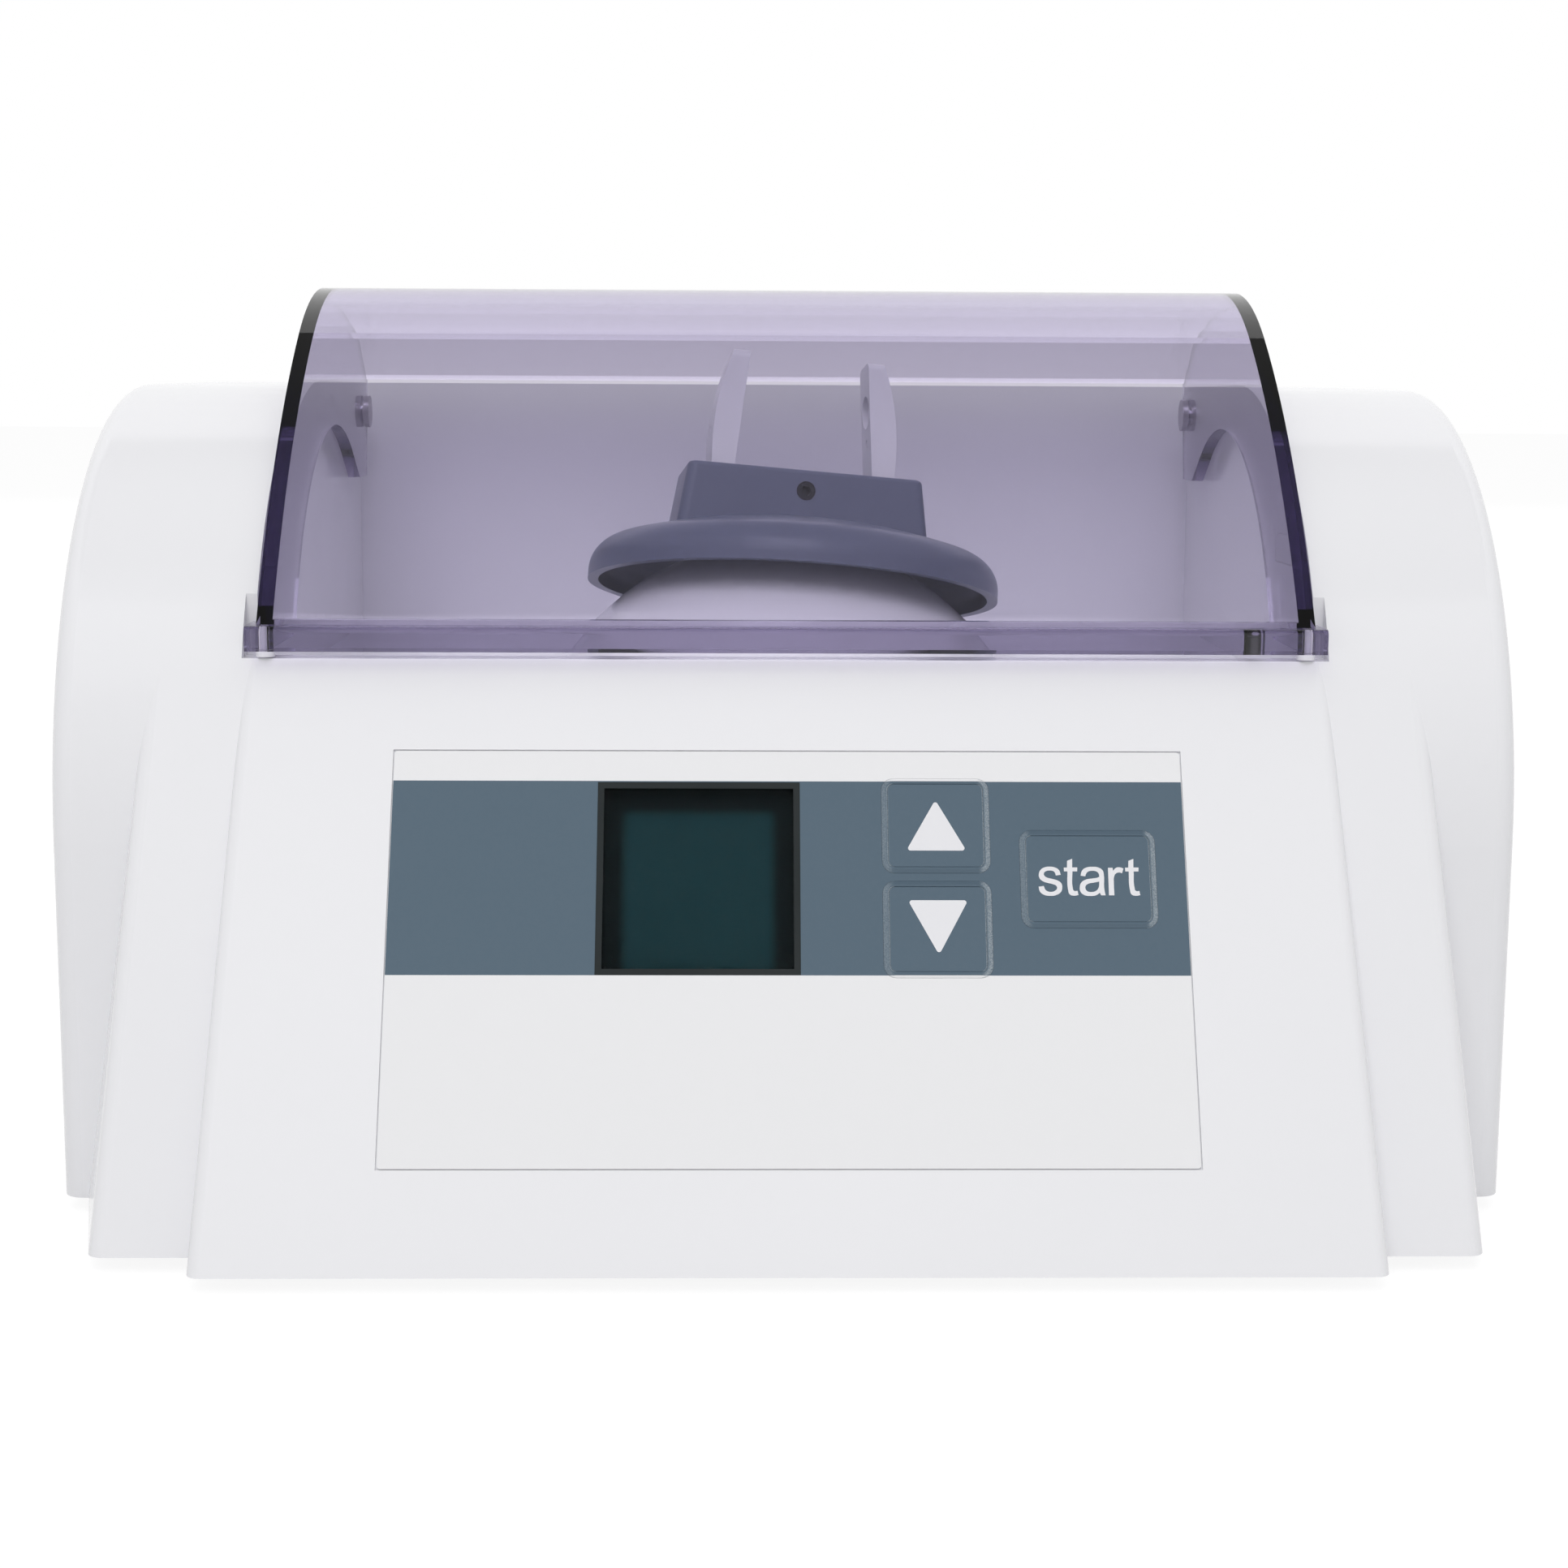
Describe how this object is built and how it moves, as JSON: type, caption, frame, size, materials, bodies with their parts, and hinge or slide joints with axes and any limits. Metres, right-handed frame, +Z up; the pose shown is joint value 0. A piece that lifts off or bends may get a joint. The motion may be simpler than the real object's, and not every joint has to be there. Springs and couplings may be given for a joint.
{
  "type": "dental amalgamator",
  "caption": "Table-top capsule mixer with a sloping keypad panel, a rocking capsule fork over a dome and a hinged tinted cover.",
  "frame": {"origin": "on the table, below the middle of the housing", "axes": "+X to the right seen from the keypad, +Y towards the rear, +Z up"},
  "size_m": [0.27, 0.22, 0.173],
  "materials": {
    "white_shell": "glossy white moulding",
    "base_grey": "fine matte",
    "rubber_grey": "matte",
    "screw_steel": "plated",
    "slate_foil": "printed film, satin",
    "dark_window": "glossy",
    "board_green": "solder mask",
    "black_plastic": "moulded, satin",
    "lcd": "liquid crystal glass",
    "tinted_cover": "clear tinted moulding, polished",
    "slate_cap": "smooth satin moulding",
    "white_plastic": "smooth",
    "cast_frame": "die cast",
    "bronze": "sintered bronze",
    "steel": "ground",
    "motor_steel": "zinc plated",
    "copper": "enamelled wire",
    "ferrite": "sintered",
    "carbon": "carbon",
    "white_nylon": "moulded nylon",
    "heat_black": "black anodised",
    "wire_red": "insulation",
    "wire_grey": "insulation",
    "fuse_glass": "glass tube"
  },
  "bodies": {
    "frame": {"upper_housing": "white_shell", "base_plate": "base_grey", "feet": "rubber_grey", "housing_screws": "screw_steel", "keypad_foil": "slate_foil", "display_window": "dark_window", "display_module": "black_plastic", "lcd_glass": "lcd", "control_board": "board_green", "board_screws": "screw_steel", "key_switches": "black_plastic", "drive_frame": "cast_frame", "rubber_mounts": "rubber_grey", "frame_bolts": "screw_steel", "guide_block": "white_nylon", "motor_can": "motor_steel", "motor_end_cap": "black_plastic", "motor_magnets": "ferrite", "shaft_bushings": "bronze", "brush_holder": "black_plastic", "brushes": "carbon", "motor_screws": "screw_steel", "hinge_pins": "screw_steel", "interlock_sensor": "white_plastic", "power_inlet": "black_plastic", "inlet_pins": "steel", "switch_body": "black_plastic", "power_board": "board_green", "standoff_screws": "screw_steel", "transformer": "motor_steel", "transformer_coil": "copper", "capacitors": "black_plastic", "heatsink": "heat_black", "terminal_block": "board_green", "motor_leads": "wire_red", "ribbon_cable": "wire_grey", "mains_leads": "wire_grey"},
    "cover": {"cover": "tinted_cover", "cover_bumpers": "white_nylon", "cover_magnet": "ferrite"},
    "rotor": {"motor_shaft": "steel", "armature": "copper", "commutator": "copper", "skew_hub": "steel", "hub_retainer": "steel", "balance_weights": "steel"},
    "fork": {"rocker_arm": "cast_frame", "rocker_bushing": "bronze", "capsule_cap": "slate_cap", "cap_screw": "screw_steel", "prong_pins": "screw_steel", "prong_springs": "screw_steel"},
    "left_prong": {"left_prong": "white_plastic"},
    "right_prong": {"right_prong": "white_plastic"},
    "up_key": {"up_key": "slate_foil"},
    "down_key": {"down_key": "slate_foil"},
    "start_key": {"start_key": "slate_foil"},
    "fuse_drawer": {"fuse_drawer": "black_plastic", "fuses": "fuse_glass"},
    "power_rocker": {"power_rocker": "black_plastic"}
  },
  "joints": [
    {"name": "cover_hinge", "type": "hinge", "parent": "frame", "child": "cover", "pos_m": [0, 0.074, 0.146], "axis": [-1, 0, 0], "range_deg": [0, 80]},
    {"name": "motor_spin", "type": "hinge", "parent": "frame", "child": "rotor", "pos_m": [0, 0.008, 0.066], "axis": [1, 0, 0], "continuous": true},
    {"name": "fork_rock", "type": "hinge", "parent": "rotor", "child": "fork", "pos_m": [0, 0.008, 0.066], "axis": [0.9877, 0.1297, -0.0875], "continuous": true},
    {"name": "left_prong_spread", "type": "hinge", "parent": "fork", "child": "left_prong", "pos_m": [-0.01368, 0.01939, 0.1279], "axis": [0.1455, -0.9668, 0.21], "range_deg": [0, 6], "stiffness_Nm_per_rad": 0.25, "springref_deg": -2.86},
    {"name": "right_prong_spread", "type": "hinge", "parent": "fork", "child": "right_prong", "pos_m": [0.02078, 0.02391, 0.12485], "axis": [-0.1455, 0.9668, -0.21], "range_deg": [0, 6], "stiffness_Nm_per_rad": 0.25, "springref_deg": -2.86},
    {"name": "up_key_press", "type": "slide", "parent": "frame", "child": "up_key", "axis": [0, 0.8878, -0.4602], "range_m": [0, 0.0004], "stiffness_N_per_m": 1500, "springref_m": -0.0004},
    {"name": "down_key_press", "type": "slide", "parent": "frame", "child": "down_key", "axis": [0, 0.8878, -0.4602], "range_m": [0, 0.0004], "stiffness_N_per_m": 1500, "springref_m": -0.0004},
    {"name": "start_key_press", "type": "slide", "parent": "frame", "child": "start_key", "axis": [0, 0.8878, -0.4602], "range_m": [0, 0.0004], "stiffness_N_per_m": 1500, "springref_m": -0.0004},
    {"name": "fuse_drawer_slide", "type": "slide", "parent": "frame", "child": "fuse_drawer", "axis": [0, 1, 0], "range_m": [0, 0.018]},
    {"name": "power_rocker_tilt", "type": "hinge", "parent": "frame", "child": "power_rocker", "pos_m": [-0.058, 0.1045, 0.035], "axis": [-1, 0, 0], "range_deg": [0, 16]}
  ],
  "couplings": [
    {"joint": "fork_rock", "follows": "motor_spin", "ratio": -1}
  ]
}
